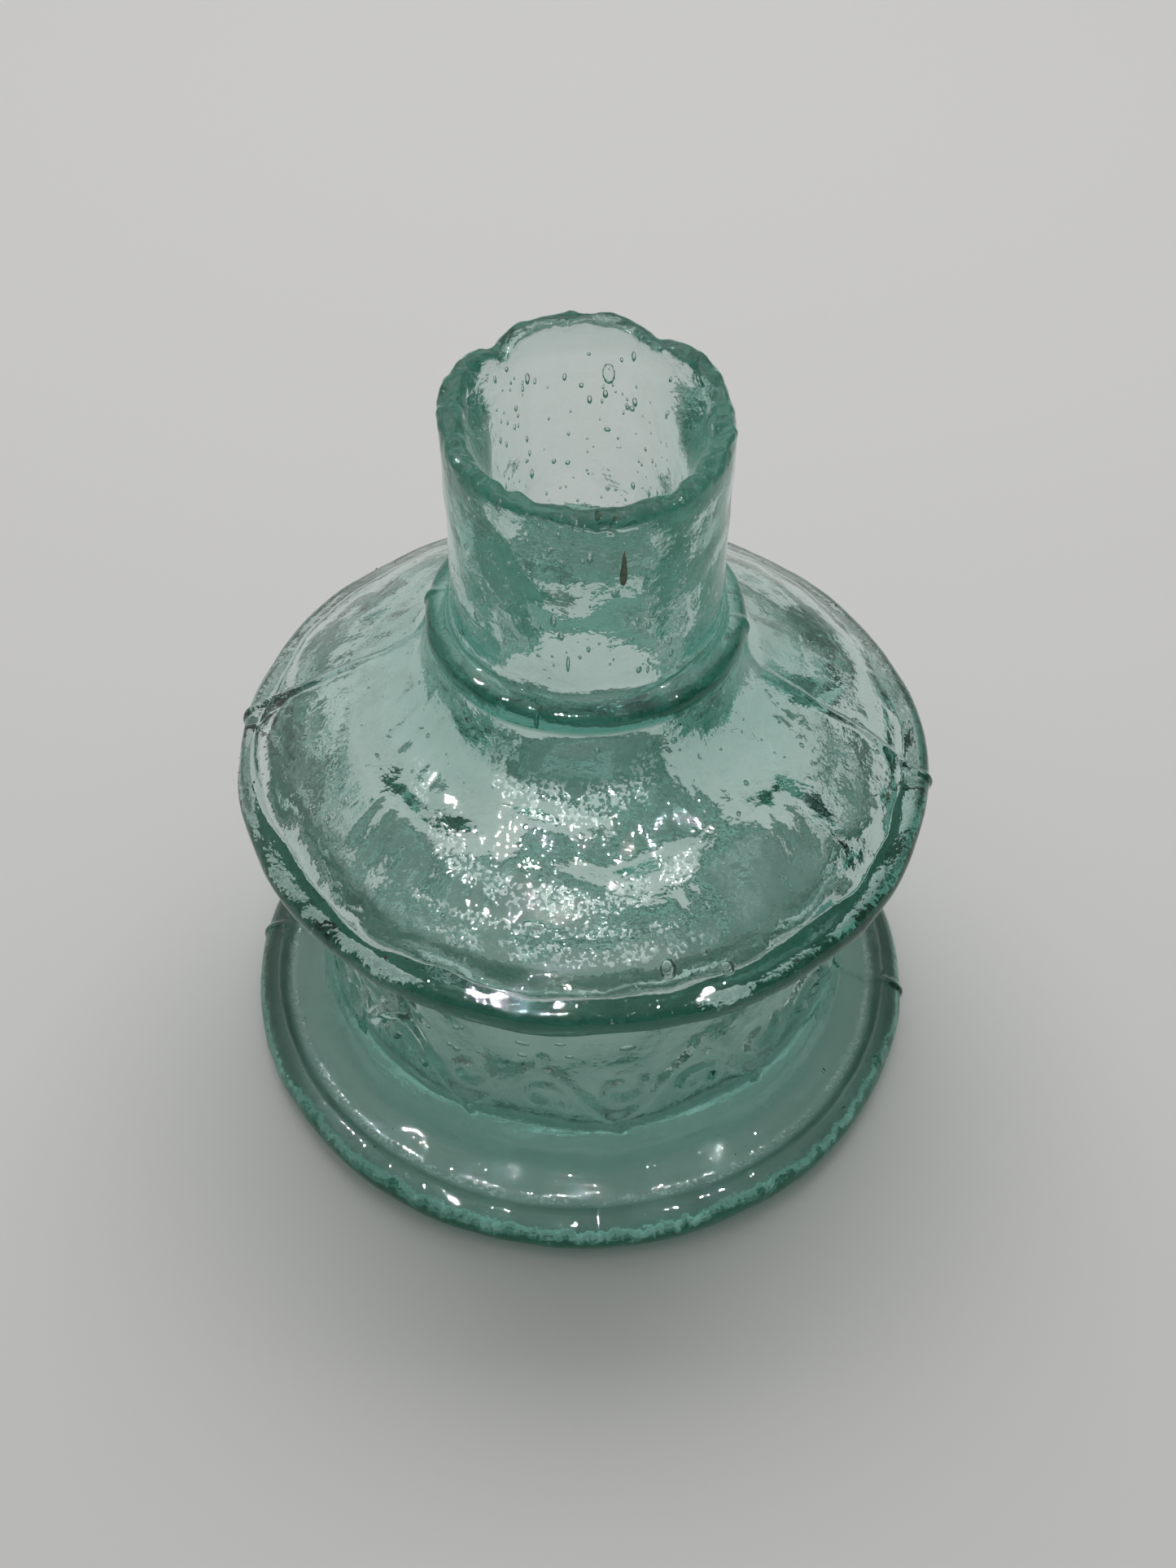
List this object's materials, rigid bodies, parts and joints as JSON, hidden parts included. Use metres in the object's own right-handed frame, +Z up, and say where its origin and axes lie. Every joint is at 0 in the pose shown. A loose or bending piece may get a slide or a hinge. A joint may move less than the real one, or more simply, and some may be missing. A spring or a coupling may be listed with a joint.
{
  "type": "ink bottle",
  "caption": "Small empty glass ink bottle shaped like a cotton reel: flanged foot, straight waist, rimmed sloping shoulder, and an open tubular neck with a rough sheared lip.",
  "frame": {"origin": "middle of the foot, on the surface that the bottle stands on", "axes": "+Z up through the neck, -Y towards the front, +X to the right"},
  "size_m": [0.0562, 0.056, 0.0642],
  "materials": {
    "aqua_glass": "old mould-blown aqua glass, clear, with seed bubbles and faint surface haze"
  },
  "bodies": {
    "root": {"glass_bottle": "aqua_glass"}
  },
  "joints": []
}
